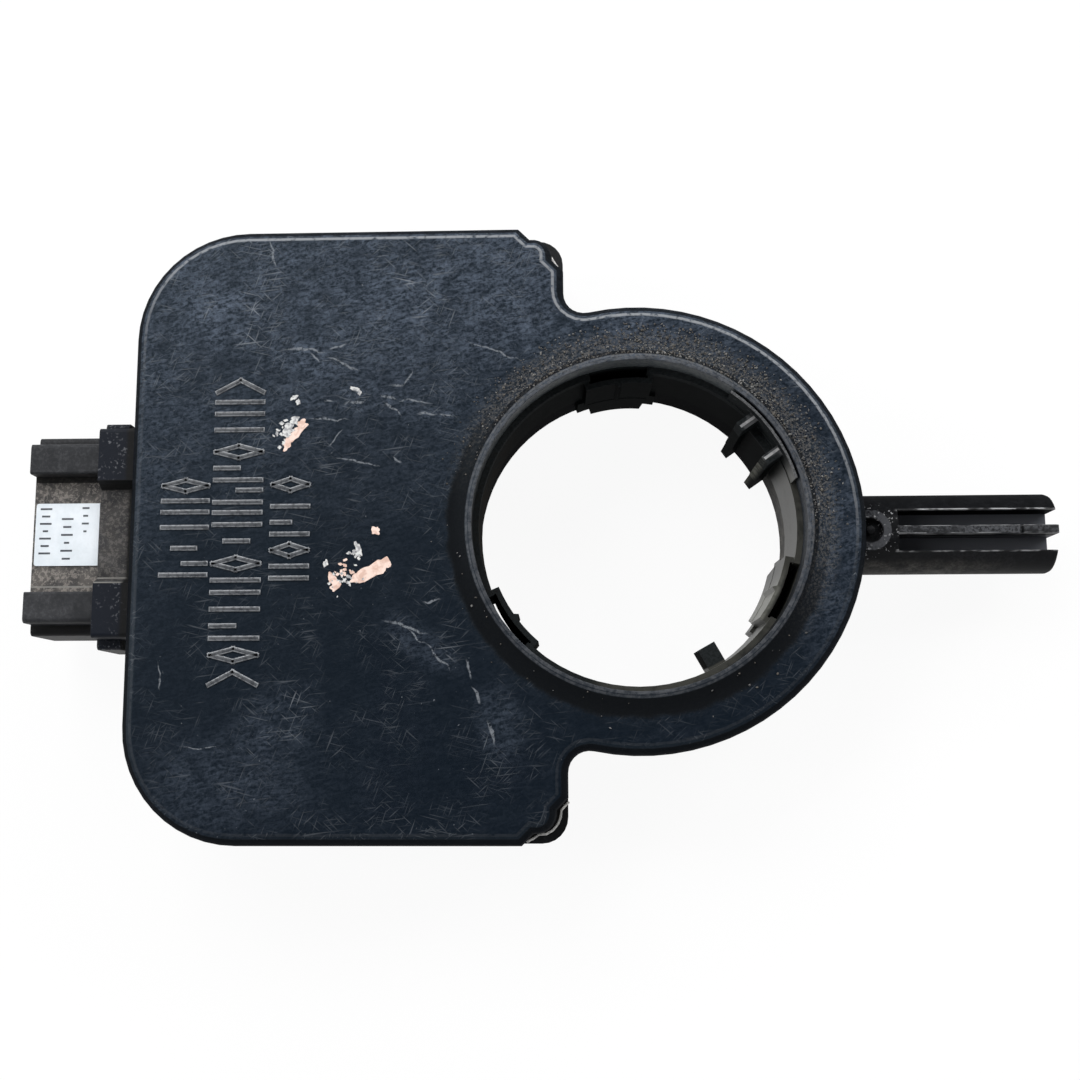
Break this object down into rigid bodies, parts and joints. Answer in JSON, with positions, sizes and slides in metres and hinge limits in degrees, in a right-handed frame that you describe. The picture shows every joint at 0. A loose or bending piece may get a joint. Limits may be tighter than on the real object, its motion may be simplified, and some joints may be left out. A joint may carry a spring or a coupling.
{
  "type": "steering angle sensor",
  "caption": "Flat sensor with a keyed rotor ring round a shaft bore, a guide arm and a side connector; inside, the ring drives measuring gears that carry magnets.",
  "frame": {"origin": "middle of the footprint, on the flat underside of the lower housing", "axes": "+X from the connector to the guide arm, +Z out of the cover's face along the shaft bore, +Y across the body"},
  "size_m": [0.1296, 0.0768, 0.0205],
  "materials": {
    "cover_plastic": "satin moulded plastic, near black",
    "housing_plastic": "satin moulded plastic, near black",
    "rotor_plastic": "smooth moulded plastic, black",
    "gear_plastic": "natural acetal",
    "header_plastic": "dark grey-brown moulded plastic",
    "board_green": "solder resist on glass laminate",
    "chip_black": "moulded chip package",
    "magnet_grey": "sintered magnet",
    "terminal_tin": "tin plate on copper alloy",
    "ceramic_tan": "ceramic",
    "crystal_can": "plain metal can",
    "label_paper": "matt film label"
  },
  "bodies": {
    "housing": {"upper_cover": "cover_plastic", "lower_housing": "housing_plastic", "circuit_board": "board_green", "field_sensor_a": "chip_black", "field_sensor_b": "chip_black", "microcontroller": "chip_black", "bus_transceiver": "chip_black", "voltage_regulator": "chip_black", "crystal": "crystal_can", "capacitor_1": "ceramic_tan", "capacitor_2": "ceramic_tan", "capacitor_3": "ceramic_tan", "capacitor_4": "ceramic_tan", "connector_header": "header_plastic", "label": "label_paper", "terminal_1": "terminal_tin", "terminal_2": "terminal_tin", "terminal_3": "terminal_tin", "terminal_4": "terminal_tin", "terminal_5": "terminal_tin", "terminal_6": "terminal_tin", "terminal_7": "terminal_tin", "terminal_8": "terminal_tin"},
    "rotor": {"rotor": "rotor_plastic"},
    "measuring_gear_a": {"measuring_gear_a": "gear_plastic", "magnet_a": "magnet_grey"},
    "measuring_gear_b": {"measuring_gear_b": "gear_plastic", "magnet_b": "magnet_grey"}
  },
  "joints": [
    {"name": "rotor_turn", "type": "hinge", "parent": "housing", "child": "rotor", "pos_m": [0.0118, 0, 0.012], "axis": [0, 0, 1], "continuous": true},
    {"name": "measuring_gear_a_turn", "type": "hinge", "parent": "housing", "child": "measuring_gear_a", "pos_m": [-0.01695, 0.0166, 0.009], "axis": [0, 0, 1], "continuous": true},
    {"name": "measuring_gear_b_turn", "type": "hinge", "parent": "housing", "child": "measuring_gear_b", "pos_m": [-0.01764, -0.017, 0.009], "axis": [0, 0, 1], "continuous": true}
  ],
  "couplings": [
    {"joint": "measuring_gear_a_turn", "follows": "rotor_turn", "ratio": -2.6087},
    {"joint": "measuring_gear_b_turn", "follows": "rotor_turn", "ratio": -2.4}
  ]
}
